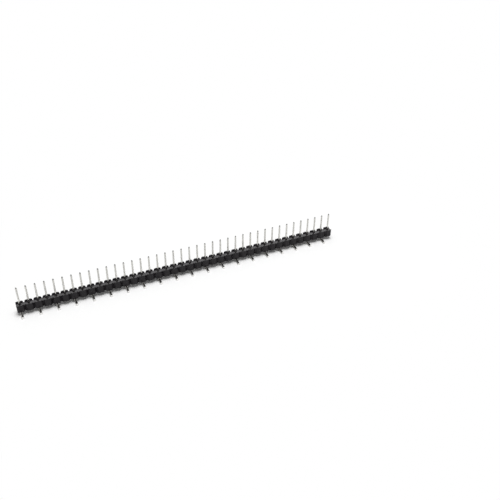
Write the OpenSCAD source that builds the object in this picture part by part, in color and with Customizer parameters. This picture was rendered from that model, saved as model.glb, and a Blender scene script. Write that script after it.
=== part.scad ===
// Single-row surface-mount pin header strip with turned pins.
// Millimetres. X runs along the row and Z is up. The origin lies below the
// middle of the row, on the plane that the feet stand on.

/* [Row] */
// Number of pins in the row
positions = 40; // [2:1:59]
// Distance from one pin axis to the next
pitch = 2.54; // [2.4:0.02:4]
// Distance from the last pin axis to the end of the plastic
end_overhang = 1.03; // [0.96:0.01:1.2]

/* [Plastic housing] */
// Height of the plastic
housing_height = 2.35; // [2:0.05:4]
// Width of the plastic across a segment
housing_width = 2.35; // [2:0.05:3.5]
// Width of the plastic left between two facing notches
web_width = 1.3; // [1:0.05:1.8]
// Length of a notch along the row, at its mouth
notch_length = 1.2; // [0.8:0.02:1.5]

/* [Top channel] */
// Width of the channel that runs along the top from end to end
channel_width = 1.65; // [1.6:0.05:1.9]
// Depth of the channel
channel_depth = 0.35; // [0.1:0.05:0.8]
// Diameter of the hole round the contact pin in the floor of the channel
relief_d = 0.9; // [0.8:0.02:1]

/* [Contact pins] */
// Diameter of the contact pin
contact_d = 0.5; // [0.4:0.02:0.7]
// Height of the contact pin above the plastic
contact_height = 5.75; // [3:0.05:12]
// Length of the tapered part below the round nose
taper_length = 0.2; // [0.1:0.05:0.8]
// Diameter of the round nose
nose_d = 0.4; // [0.2:0.02:0.4]

/* [Locking collars] */
// Diameter of the collar that holds the pin in the plastic
collar_d = 1.2; // [1:0.05:1.6]
// Thickness of the collar
collar_height = 0.5; // [0.3:0.05:0.7]
// Depth of the collar below the floor of the channel
collar_depth = 0.18; // [0.1:0.02:0.6]
// Gap between the metal and the plastic that is moulded round it
moulding_gap = 0; // [0:0.005:0.02]

/* [Tails and feet] */
// Diameter of the tail and its foot
tail_d = 0.66; // [0.5:0.02:0.9]
// Straight stretch of tail between the plastic and the elbow
tail_drop = 0.2; // [0.05:0.05:1]
// Inside radius of the elbow
elbow_inner_r = 0.2; // [0.1:0.05:0.6]
// Distance from the pin axis to the end of the foot
foot_reach = 3; // [2:0.05:5]
// Bevel round the end of the foot
foot_bevel = 0.06; // [0.02:0.01:0.15]

/* [Hidden] */
// Sides of a full circle
$fn = 48;
// Overshoot that carries a cut clear of a face
eps = 0.1;

// Centreline radius of the elbow
elbow_r = elbow_inner_r + tail_d / 2;

// Heights above the plane that the feet stand on
foot_z = tail_d / 2;
elbow_z = foot_z + elbow_r;
housing_z = elbow_z + tail_drop;
housing_top_z = housing_z + housing_height;
channel_z = housing_top_z - channel_depth;
collar_top_z = channel_z - collar_depth;
collar_z = collar_top_z - collar_height;
tip_z = housing_top_z + contact_height;

housing_length = (positions - 1) * pitch + 2 * end_overhang;
notch_depth = (housing_width - web_width) / 2;

function pin_x(i) = (i - (positions + 1) / 2) * pitch;
function web_x(i) = pin_x(i) + pitch / 2;
function pin_name(i) = str("pin_", i < 10 ? "0" : "", i);

// V notch that opens towards the back, with its point towards the front
module notch() {
    mouth = notch_length / 2;
    polygon([[-mouth, 0], [0, -notch_depth], [mouth, 0], [mouth, eps], [-mouth, eps]]);
}

// Plan of the plastic: a bar with facing notches at every break and at both ends
module housing_plan() {
    difference() {
        square([housing_length, housing_width], center = true);
        for (i = [0:positions], turn = [0, 180])
            translate([web_x(i), 0])
                rotate(turn)
                    translate([0, housing_width / 2])
                        notch();
    }
}

// The part of a pin that sits in the plastic: tail and locking collar, from a height
// up to the top of the collar and grown by a gap
module gripped_shank(bottom, gap = 0) {
    translate([0, 0, bottom])
        cylinder(d = tail_d + 2 * gap, h = collar_z - bottom);
    translate([0, 0, collar_z - gap])
        cylinder(d = collar_d + 2 * gap, h = collar_height + 2 * gap);
}

module housing() {
    color([0.07, 0.07, 0.075])
        difference() {
            translate([0, 0, housing_z])
                linear_extrude(housing_height)
                    housing_plan();
            translate([-housing_length / 2 - eps, -channel_width / 2, channel_z])
                cube([housing_length + 2 * eps, channel_width, channel_depth + eps]);
            for (i = [1:positions])
                translate([pin_x(i), 0, 0]) {
                    gripped_shank(housing_z - eps, moulding_gap);
                    translate([0, 0, collar_top_z])
                        cylinder(d = relief_d, h = collar_depth + eps);
                }
        }
}

// Quarter turn from straight down to straight towards the front
module elbow() {
    translate([0, -elbow_r, elbow_z])
        rotate([90, 0, 90])
            rotate([0, 0, -90])
                rotate_extrude(angle = 90)
                    translate([elbow_r, 0])
                        circle(d = tail_d);
}

// Round foot, lying flat, with a bevelled end
module foot() {
    straight = foot_reach - elbow_r - foot_bevel;
    translate([0, -elbow_r, foot_z])
        rotate([90, 0, 0]) {
            cylinder(d = tail_d, h = straight);
            translate([0, 0, straight])
                cylinder(d1 = tail_d, d2 = tail_d - 2 * foot_bevel, h = foot_bevel);
        }
}

// One turned pin. Feet of odd pins point to the front, of even pins to the back
module pin(i) {
    nose_z = tip_z - nose_d / 2;
    taper_z = nose_z - taper_length;
    color([0.76, 0.75, 0.72])
        translate([pin_x(i), 0, 0])
            rotate([0, 0, i % 2 == 1 ? 0 : 180]) {
                gripped_shank(elbow_z);
                translate([0, 0, collar_top_z])
                    cylinder(d = contact_d, h = taper_z - collar_top_z);
                translate([0, 0, taper_z])
                    cylinder(d1 = contact_d, d2 = nose_d, h = taper_length);
                translate([0, 0, nose_z])
                    sphere(d = nose_d);
                elbow();
                foot();
            }
}

housing();
for (i = [1:positions])
    pin(i);
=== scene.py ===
import math
import bpy
from mathutils import Matrix, Vector


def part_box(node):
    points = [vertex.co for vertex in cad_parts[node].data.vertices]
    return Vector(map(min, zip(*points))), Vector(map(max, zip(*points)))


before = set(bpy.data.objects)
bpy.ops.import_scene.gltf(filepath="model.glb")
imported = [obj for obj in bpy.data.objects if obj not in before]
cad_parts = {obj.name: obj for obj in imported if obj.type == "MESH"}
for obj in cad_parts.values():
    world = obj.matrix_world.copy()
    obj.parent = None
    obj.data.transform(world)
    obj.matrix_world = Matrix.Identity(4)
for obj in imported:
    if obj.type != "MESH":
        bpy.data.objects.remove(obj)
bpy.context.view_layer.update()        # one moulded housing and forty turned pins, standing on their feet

millimetre = 0.001
housingLow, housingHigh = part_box("housing")
pinNames = sorted(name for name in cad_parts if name.startswith("pin_"))
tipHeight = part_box(pinNames[0])[1].z     # top of the noses
footEnd = -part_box(pinNames[0])[0].y      # how far a foot reaches to its side
print("frame: the housing and", len(pinNames), "pins")


# a node of one kind at a place in the editor, with its properties set by name
def addNode(tree, kind, place, **settings):
    node = tree.nodes.new(kind)
    node.location = place
    for name, value in settings.items():
        setattr(node, name, value)
    return node


# gives a socket a number, or joins it to another socket
def feed(tree, socket, value):
    if isinstance(value, (int, float)):
        socket.default_value = value
    else:
        tree.links.new(value, socket)


# one Math node on one to three numbers or sockets
def mathNode(tree, operation, place, *values, clamp=False):
    node = addNode(tree, "ShaderNodeMath", place, operation=operation, use_clamp=clamp)
    for socket, value in zip(node.inputs, values):
        feed(tree, socket, value)
    return node.outputs[0]


# a mask that runs from 0 to 1 as the value goes from low to high
def ramp(tree, place, value, low, high):
    node = addNode(tree, "ShaderNodeMapRange", place, interpolation_type="SMOOTHSTEP")
    feed(tree, node.inputs["Value"], value)
    feed(tree, node.inputs["From Min"], low)
    feed(tree, node.inputs["From Max"], high)
    return node.outputs["Result"]


# noise on a vector, with its scale in waves to a metre
def noiseNode(tree, place, vector, scale, detail=3.0):
    node = addNode(tree, "ShaderNodeTexNoise", place)
    feed(tree, node.inputs["Vector"], vector)
    feed(tree, node.inputs["Scale"], scale)
    feed(tree, node.inputs["Detail"], detail)
    return node.outputs["Fac"]


# a colour that goes from one to the other by a mask; each is a colour or a socket
def mixColour(tree, place, mask, low, high):
    node = addNode(tree, "ShaderNodeMix", place, data_type="RGBA")
    tree.links.new(mask, node.inputs["Factor"])
    for socket, value in ((node.inputs["A"], low), (node.inputs["B"], high)):
        if isinstance(value, tuple):
            socket.default_value = (*value, 1)
        else:
            tree.links.new(value, socket)
    return node.outputs["Result"]


socketKinds = dict(float="NodeSocketFloat", vector="NodeSocketVector")


# an empty node group: inputs are {name: default, or "vector"}, outputs are {name: kind}
def newGroup(name, inputs, outputs):
    group = bpy.data.node_groups.new(name, "ShaderNodeTree")
    for socket, default in inputs.items():
        kind = "vector" if default == "vector" else "float"
        made = group.interface.new_socket(name=socket, in_out="INPUT", socket_type=socketKinds[kind])
        if kind == "float":
            made.default_value = default
    for socket, kind in outputs.items():
        group.interface.new_socket(name=socket, in_out="OUTPUT", socket_type=socketKinds[kind])
    entry = addNode(group, "NodeGroupInput", (-900, 0))
    leave = addNode(group, "NodeGroupOutput", (700, 0))
    return group, entry.outputs, leave.inputs


# places a group in a material and sets its inputs by name
def useGroup(tree, group, place, vector, values):
    node = addNode(tree, "ShaderNodeGroup", place, node_tree=group)
    tree.links.new(vector, node.inputs["Vector"])
    for name, value in values.items():
        feed(tree, node.inputs[name], value)
    return node.outputs


# Edge wear. Normal is the surface's own, rounded over the radius. Mask is how far it leans from the
# true normal, times the gain, broken up by noise: 0 on a flat face, up to 1 on a sharp edge.
def makeEdgeWear():
    group, given, result = newGroup(
        "edgeWear", {"Vector": "vector", "Radius": 0.05 * millimetre, "Patch Scale": 900.0, "Gain": 6.0},
        {"Mask": "float", "Normal": "vector"})
    rounded = addNode(group, "ShaderNodeBevel", (-650, 200), samples=6)
    feed(group, rounded.inputs["Radius"], given["Radius"])
    surface = addNode(group, "ShaderNodeNewGeometry", (-650, 0))
    dot = addNode(group, "ShaderNodeVectorMath", (-450, 150), operation="DOT_PRODUCT")
    feed(group, dot.inputs[0], rounded.outputs["Normal"])
    feed(group, dot.inputs[1], surface.outputs["Normal"])
    lean = mathNode(group, "SUBTRACT", (-250, 150), 1.0, dot.outputs["Value"])
    edge = mathNode(group, "MULTIPLY", (-50, 150), lean, given["Gain"], clamp=True)
    patches = noiseNode(group, (-450, -150), given["Vector"], given["Patch Scale"])
    feed(group, result["Mask"], mathNode(group, "MULTIPLY", (250, 50), edge, patches, clamp=True))
    feed(group, result["Normal"], rounded.outputs["Normal"])
    return group


# Surface grain. Height is fine noise for a bump. Roughness is the base plus or minus half the spread,
# drifting with slow noise. Drift is that slow noise itself.
def makeGrain():
    group, given, result = newGroup(
        "grain", {"Vector": "vector", "Fine Scale": 9000.0, "Slow Scale": 400.0, "Base": 0.3, "Spread": 0.1},
        {"Height": "float", "Roughness": "float", "Drift": "float"})
    fine = noiseNode(group, (-500, 200), given["Vector"], given["Fine Scale"])
    slow = noiseNode(group, (-500, -100), given["Vector"], given["Slow Scale"])
    centred = mathNode(group, "SUBTRACT", (-250, -100), slow, 0.5)
    feed(group, result["Height"], fine)
    feed(group, result["Roughness"],
         mathNode(group, "MULTIPLY_ADD", (0, -100), centred, given["Spread"], given["Base"]))
    feed(group, result["Drift"], slow)
    return group


edgeWear = makeEdgeWear()
grain = makeGrain()


# a material with a Principled shader and nothing else, and its Object coordinates
def startMaterial(name):
    made = bpy.data.materials.new(name)
    made.use_nodes = True
    tree = made.node_tree
    tree.nodes.clear()
    output = addNode(tree, "ShaderNodeOutputMaterial", (900, 0))
    shader = addNode(tree, "ShaderNodeBsdfPrincipled", (600, 0))
    tree.links.new(shader.outputs[0], output.inputs["Surface"])
    coordinates = addNode(tree, "ShaderNodeTexCoord", (-1300, 0)).outputs["Object"]
    return made, tree, shader, coordinates


# a bump of a height in metres on top of a normal, into the shader
def addBump(tree, shader, place, height, distance, normal):
    bump = addNode(tree, "ShaderNodeBump", place)
    bump.inputs["Distance"].default_value = distance
    feed(tree, bump.inputs["Height"], height)
    feed(tree, bump.inputs["Normal"], normal)
    tree.links.new(bump.outputs["Normal"], shader.inputs["Normal"])


housing = dict(
    black=(0.0123, 0.0105, 0.0127),
    flowBlack=(0.0156, 0.0134, 0.0160),  # drifting shade of the filled plastic
    worn=(0.025, 0.025, 0.026),          # rubbed edges
    snapped=(0.05, 0.049, 0.05),         # torn faces at both ends, where the strip was broken off
    specular=0.20,
    roughness=0.27,
    roughnessSpread=0.12,
    snappedRoughness=0.62,
    grainScale=9000.0,                   # scales are waves to a metre
    grainHeight=0.004 * millimetre,
    tearScale=14000.0,
    tearDetail=5.0,
    tearHeight=0.02 * millimetre,
    flowScale=350.0,
    edgeRadius=0.06 * millimetre,
    wearPatches=1400.0,                  # patches of wear to a metre
    wearGain=5.0,
    snappedDepth=0.02 * millimetre,      # how far in from the end face the torn look starts
    snappedFade=0.015 * millimetre,
)


# Black plastic with a spark-eroded grain. The end faces, which are where the distance from the middle
# of the row reaches half the length of the housing, are paler, rougher and torn.
def makePlastic(look):
    made, tree, shader, place = startMaterial("mouldedBlackPlastic")
    skin = useGroup(tree, grain, (-1000, 0), place, {
        "Fine Scale": look["grainScale"], "Slow Scale": look["flowScale"],
        "Base": look["roughness"], "Spread": look["roughnessSpread"]})
    wear = useGroup(tree, edgeWear, (-1000, 350), place, {
        "Radius": look["edgeRadius"], "Patch Scale": look["wearPatches"], "Gain": look["wearGain"]})
    along = addNode(tree, "ShaderNodeSeparateXYZ", (-1000, -400))
    tree.links.new(place, along.inputs[0])
    fromMiddle = mathNode(tree, "ABSOLUTE", (-800, -400), along.outputs["X"])
    snappedFrom = housingHigh.x - look["snappedDepth"]
    snapped = ramp(tree, (-600, -400), fromMiddle, snappedFrom, snappedFrom + look["snappedFade"])
    tear = noiseNode(tree, (-800, -600), place, look["tearScale"], look["tearDetail"])
    tornShade = mathNode(tree, "MULTIPLY", (-400, -500), snapped, tear, clamp=True)

    plain = mixColour(tree, (-400, 350), skin["Drift"], look["black"], look["flowBlack"])
    rubbed = mixColour(tree, (-200, 350), wear["Mask"], plain, look["worn"])
    tree.links.new(mixColour(tree, (0, 350), tornShade, rubbed, look["snapped"]), shader.inputs["Base Color"])

    extra = mathNode(tree, "SUBTRACT", (-200, 50), look["snappedRoughness"], skin["Roughness"])
    tree.links.new(mathNode(tree, "MULTIPLY_ADD", (0, 50), extra, snapped, skin["Roughness"]),
                   shader.inputs["Roughness"])
    shader.inputs["Specular IOR Level"].default_value = look["specular"]

    tearGain = look["tearHeight"] / look["grainHeight"]
    torn = mathNode(tree, "MULTIPLY", (-200, -400), tornShade, tearGain)
    addBump(tree, shader, (300, -250), mathNode(tree, "ADD", (0, -300), skin["Height"], torn),
            look["grainHeight"], wear["Normal"])
    return made


pin = dict(
    plate=(0.60, 0.592, 0.562),
    paintedLowLift=(0.86, 0.85, 0.805),           # painted light: lighter low on the post, to offset the darker reflection of the black housing there
    paintedLiftReach=3.4 * millimetre,         # how far up the post that goes
    dull=(0.43, 0.424, 0.402),           # cloudy patches of the plating
    rubbed=(0.78, 0.765, 0.73),          # polished edges
    tail=(0.42, 0.415, 0.395),           # painted shade: tail and foot darker, for the shade and dark reflections under the housing
    nose=(0.21, 0.209, 0.203),           # painted reflection: round nose painted dark for the dark room above that it reflects
    noseLength=0.4 * millimetre,
    cut=(0.88, 0.87, 0.85),              # sheared end of the foot, bare and matt, and painted brighter as a painted highlight on the foot's end
    cutDepth=0.07 * millimetre,
    cutRoughness=0.55,
    darkInHole=(0.085, 0.082, 0.08),          # near black on the metal inside the plastic, round the collar down in its hole
    darkInHoleDepth=0.45 * millimetre,        # below the top of the plastic
    darkInHoleFade=0.07 * millimetre,
    roughness=0.22,
    roughnessSpread=0.16,
    cloudScale=1100.0,
    cloudStart=0.45,                     # share of the slow noise at which a dull patch starts
    cloudFull=0.8,
    grainScale=16000.0,
    turningMarks=16000.0,                # marks to a metre of wire, from the lathe
    turningHeight=0.003 * millimetre,
    fineShare=0.4,                       # how much the fine grain adds to the turning marks
    tailRadius=0.33 * millimetre,
    edgeRadius=0.025 * millimetre,
    wearPatches=3000.0,
    wearGain=4.0,
)


# Distance along a bent wire: the height above the tail's own thickness, less the reach beyond the
# tail's radius to either side. It runs on without a jump from the shank through the elbow to the foot.
def makeAlongWire(look):
    group, given, result = newGroup("alongWire", {"Vector": "vector"}, {"Distance": "float"})
    split = addNode(group, "ShaderNodeSeparateXYZ", (-700, 0))
    feed(group, split.inputs[0], given["Vector"])
    above = mathNode(group, "SUBTRACT", (-450, 150), split.outputs["Z"], 2 * look["tailRadius"])
    rise = mathNode(group, "MAXIMUM", (-250, 150), above, 0.0)
    sideways = mathNode(group, "ABSOLUTE", (-450, -100), split.outputs["Y"])
    beyond = mathNode(group, "SUBTRACT", (-250, -100), sideways, look["tailRadius"])
    reach = mathNode(group, "MAXIMUM", (-50, -100), beyond, 0.0)
    feed(group, result["Distance"], mathNode(group, "SUBTRACT", (200, 0), rise, reach))
    return group


# Tin plate on a turned pin: cloudy, ringed by the lathe and polished on its edges. Painted light and shade:
# lighter low on the post against the housing's dark reflection, painted shade on the tail, a painted dark
# reflection on the nose, the bare cut end of the foot painted brighter as its highlight, and near black metal
# inside the plastic round the collar.
def makePlate(look):
    made, tree, shader, place = startMaterial("dullTinPlate")
    skin = useGroup(tree, grain, (-1000, 0), place, {
        "Fine Scale": look["grainScale"], "Slow Scale": look["cloudScale"],
        "Base": look["roughness"], "Spread": look["roughnessSpread"]})
    wear = useGroup(tree, edgeWear, (-1000, 350), place, {
        "Radius": look["edgeRadius"], "Patch Scale": look["wearPatches"], "Gain": look["wearGain"]})
    wire = useGroup(tree, makeAlongWire(look), (-1000, -300), place, {})
    turn = mathNode(tree, "MULTIPLY", (-800, -300), wire["Distance"], look["turningMarks"])
    marks = addNode(tree, "ShaderNodeTexNoise", (-600, -300), noise_dimensions="1D")
    tree.links.new(turn, marks.inputs["W"])
    marks.inputs["Scale"].default_value = 1.0

    height = addNode(tree, "ShaderNodeSeparateXYZ", (-1000, -550))
    tree.links.new(place, height.inputs[0])
    # painted reflection: the top of the nose is painted dark
    nose = ramp(tree, (-600, -550), height.outputs["Z"],
                tipHeight - look["noseLength"], tipHeight - look["noseLength"] / 2)

    sideways = mathNode(tree, "ABSOLUTE", (-800, -700), height.outputs["Y"])
    # the sheared foot end: bare metal, and painted brighter as a painted highlight
    cut = ramp(tree, (-600, -700), sideways, footEnd - look["cutDepth"], footEnd - look["cutDepth"] / 2)
    # the metal inside the plastic, from this depth below its top down to its bottom, is made near black
    darkInHoleTop = housingHigh.z - look["darkInHoleDepth"]
    buried = ramp(tree, (-600, -850), height.outputs["Z"], darkInHoleTop, darkInHoleTop - look["darkInHoleFade"])
    above = mathNode(tree, "GREATER_THAN", (-600, -1000), height.outputs["Z"], housingLow.z)
    inPlastic = mathNode(tree, "MULTIPLY", (-400, -900), buried, above)
    blunt = mathNode(tree, "SUBTRACT", (-200, 0), look["cutRoughness"], skin["Roughness"])

    # painted light: the post is painted lighter from the top of the plastic up to the reach
    paintedLiftRamp = ramp(tree, (-600, -1150), height.outputs["Z"],
                     housingHigh.z + look["paintedLiftReach"], housingHigh.z)
    lowOnPost = mathNode(tree, "MULTIPLY", (-400, -1100), paintedLiftRamp, above)
    # painted shade: the wire below the bottom of the housing, tail and foot, is painted darker
    shank = mixColour(tree, (-800, 350), above, look["tail"], look["plate"])
    plated = mixColour(tree, (-600, 350), lowOnPost, shank, look["paintedLowLift"])
    clouds = ramp(tree, (-700, 200), skin["Drift"], look["cloudStart"], look["cloudFull"])
    clouded = mixColour(tree, (-400, 350), clouds, plated, look["dull"])
    polished = mixColour(tree, (-200, 350), wear["Mask"], clouded, look["rubbed"])
    darkened = mixColour(tree, (0, 350), nose, polished, look["nose"])
    darkenedInHole = mixColour(tree, (150, 350), inPlastic, darkened, look["darkInHole"])
    tree.links.new(mixColour(tree, (300, 350), cut, darkenedInHole, look["cut"]), shader.inputs["Base Color"])
    tree.links.new(mathNode(tree, "MULTIPLY_ADD", (0, 0), blunt, cut, skin["Roughness"]),
                   shader.inputs["Roughness"])
    shader.inputs["Metallic"].default_value = 1.0

    ridges = mathNode(tree, "MULTIPLY_ADD", (-100, -250), skin["Height"], look["fineShare"],
                      marks.outputs["Fac"])
    addBump(tree, shader, (300, -250), ridges, look["turningHeight"], wear["Normal"])
    return made


# every material slot of a CAD node gets the same material
def dress(node, material):
    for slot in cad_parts[node].material_slots:
        slot.material = material


dress("housing", makePlastic(housing))
tinPlate = makePlate(pin)
for pinName in pinNames:
    dress(pinName, tinPlate)
print("materials: black plastic on the housing, tin plate on", len(pinNames), "pins")


# 1 for a ray from the camera, or one that metal or glass sends on, and 0 for one that only lights
def seenRays(tree, place):
    ray = addNode(tree, "ShaderNodeLightPath", place)
    direct = mathNode(tree, "MAXIMUM", (place[0] + 200, place[1]),
                      ray.outputs["Is Camera Ray"], ray.outputs["Is Glossy Ray"])
    return mathNode(tree, "MAXIMUM", (place[0] + 400, place[1]), direct, ray.outputs["Is Transmission Ray"])


floor = dict(
    size=6.0,                            # length of a side, in metres
    colour=(0.97, 0.97, 0.97),
    fadeStart=8 * millimetre,            # distance from the strip at which the paper starts to fade
    fadeEnd=50 * millimetre,
)


# White paper that takes the strip's shadow and fades to plain white around it. The distance from the
# strip is the length of (how far x is beyond either end of the housing, y).
def makeFloor(look):
    half = look["size"] / 2
    corners = [(-half, -half, 0), (half, -half, 0), (half, half, 0), (-half, half, 0)]
    mesh = bpy.data.meshes.new("floor")
    mesh.from_pydata(corners, [], [(0, 1, 2, 3)])
    sheet = bpy.data.objects.new("floor", mesh)
    bpy.context.scene.collection.objects.link(sheet)
    made = bpy.data.materials.new("whitePaper")
    made.use_nodes = True
    tree = made.node_tree
    tree.nodes.clear()
    output = addNode(tree, "ShaderNodeOutputMaterial", (700, 0))
    paper = addNode(tree, "ShaderNodeBsdfDiffuse", (200, 150))
    paper.inputs["Color"].default_value = (*look["colour"], 1)
    glow = addNode(tree, "ShaderNodeEmission", (200, 0))

    place = addNode(tree, "ShaderNodeTexCoord", (-1100, 0)).outputs["Object"]
    split = addNode(tree, "ShaderNodeSeparateXYZ", (-900, 0))
    tree.links.new(place, split.inputs[0])
    away = mathNode(tree, "ABSOLUTE", (-700, 100), split.outputs["X"])
    past = mathNode(tree, "SUBTRACT", (-500, 100), away, housingHigh.x)
    beyond = mathNode(tree, "MAXIMUM", (-300, 100), past, 0.0)
    offset = addNode(tree, "ShaderNodeCombineXYZ", (-100, 0))
    tree.links.new(beyond, offset.inputs["X"])
    tree.links.new(split.outputs["Y"], offset.inputs["Y"])
    distance = addNode(tree, "ShaderNodeVectorMath", (50, -100), operation="LENGTH")
    tree.links.new(offset.outputs[0], distance.inputs[0])
    faded = ramp(tree, (200, -150), distance.outputs["Value"], look["fadeStart"], look["fadeEnd"])

    mix = addNode(tree, "ShaderNodeMixShader", (500, 0))
    tree.links.new(mathNode(tree, "MULTIPLY", (350, -250), faded, seenRays(tree, (-500, -400))),
                   mix.inputs["Fac"])
    tree.links.new(paper.outputs[0], mix.inputs[1])
    tree.links.new(glow.outputs[0], mix.inputs[2])
    tree.links.new(mix.outputs[0], output.inputs["Surface"])
    mesh.materials.append(made)


makeFloor(floor)


light = dict(
    ambient=0.32,                        # what the room adds to matt surfaces
    backdrop=1.0,                        # how white the room looks, also in metal
    softboxes=[
        dict(name="overheadSoftbox", towards=(0.05, 0.03, 1.0), distance=1.0, width=0.55, height=0.55,
             radiance=8.3, diffuse=True, glossy=False),
        # a card seen only in gloss: it draws the sheen on the tops without lifting the shadow
        dict(name="glossCard", towards=(0.28, 0.75, 0.5), distance=1.0, width=1.4, height=0.55,
             radiance=2.6, diffuse=False, glossy=True),
    ],
)


# Area lamps at their distance from the part, in metres, aimed at its middle. A lamp's power is its
# radiance times its area times pi. The room is plain white to the camera and in gloss, and dimmer as a lamp.
def makeLights(look):
    for box in look["softboxes"]:
        lamp = bpy.data.lights.new(box["name"], "AREA")
        lamp.shape = "RECTANGLE"
        lamp.size, lamp.size_y = box["width"], box["height"]
        lamp.energy = box["radiance"] * box["width"] * box["height"] * math.pi
        holder = bpy.data.objects.new(box["name"], lamp)
        towards = Vector(box["towards"]).normalized()
        holder.location = towards * box["distance"]
        holder.rotation_euler = towards.to_track_quat("Z", "Y").to_euler()
        holder.visible_camera = False
        holder.visible_diffuse, holder.visible_glossy = box["diffuse"], box["glossy"]
        bpy.context.scene.collection.objects.link(holder)

    room = bpy.data.worlds.new("room")
    bpy.context.scene.world = room
    room.use_nodes = True
    tree = room.node_tree
    tree.nodes.clear()
    output = addNode(tree, "ShaderNodeOutputWorld", (500, 0))
    sky = addNode(tree, "ShaderNodeBackground", (300, 0))
    sky.inputs["Color"].default_value = (1, 1, 1, 1)
    strength = mathNode(tree, "MULTIPLY_ADD", (100, 0), seenRays(tree, (-500, 0)),
                        look["backdrop"] - look["ambient"], look["ambient"])
    tree.links.new(strength, sky.inputs["Strength"])
    tree.links.new(sky.outputs[0], output.inputs["Surface"])


makeLights(light)
print("stage: the floor, the room and", len(light["softboxes"]), "softboxes")


camera = dict(
    lens=48.587,
    sensorWidth=36.0,
    azimuth=-24.545,
    elevation=35.327,
    roll=1.030,
    distance=206.208 * millimetre,
    aim=(18.68 * millimetre, -6.30 * millimetre, 7.29 * millimetre),
    clipStart=0.01,
    clipEnd=20.0,
)


# A camera at a distance back from the point it aims at, turned by the azimuth about Z, raised by the
# elevation, and rolled about its own line of sight.
def makeCamera(look):
    turn, rise = math.radians(look["azimuth"]), math.radians(look["elevation"])
    back = Vector((math.sin(turn) * math.cos(rise), -math.cos(turn) * math.cos(rise), math.sin(rise)))
    level = Vector((math.cos(turn), math.sin(turn), 0))
    right = Matrix.Rotation(math.radians(look["roll"]), 3, back) @ level
    data = bpy.data.cameras.new("camera")
    data.sensor_width = look["sensorWidth"]
    data.lens = look["lens"]
    data.clip_start, data.clip_end = look["clipStart"], look["clipEnd"]
    holder = bpy.data.objects.new("camera", data)
    axes = Matrix((right, back.cross(right), back)).transposed().to_4x4()
    holder.matrix_world = Matrix.Translation(Vector(look["aim"]) + back * look["distance"]) @ axes
    bpy.context.scene.collection.objects.link(holder)
    bpy.context.scene.camera = holder


makeCamera(camera)
print("camera:", camera["lens"], "mm lens,", round(camera["distance"] / millimetre), "mm from its aim")
bpy.context.scene.view_settings.view_transform = "Standard"
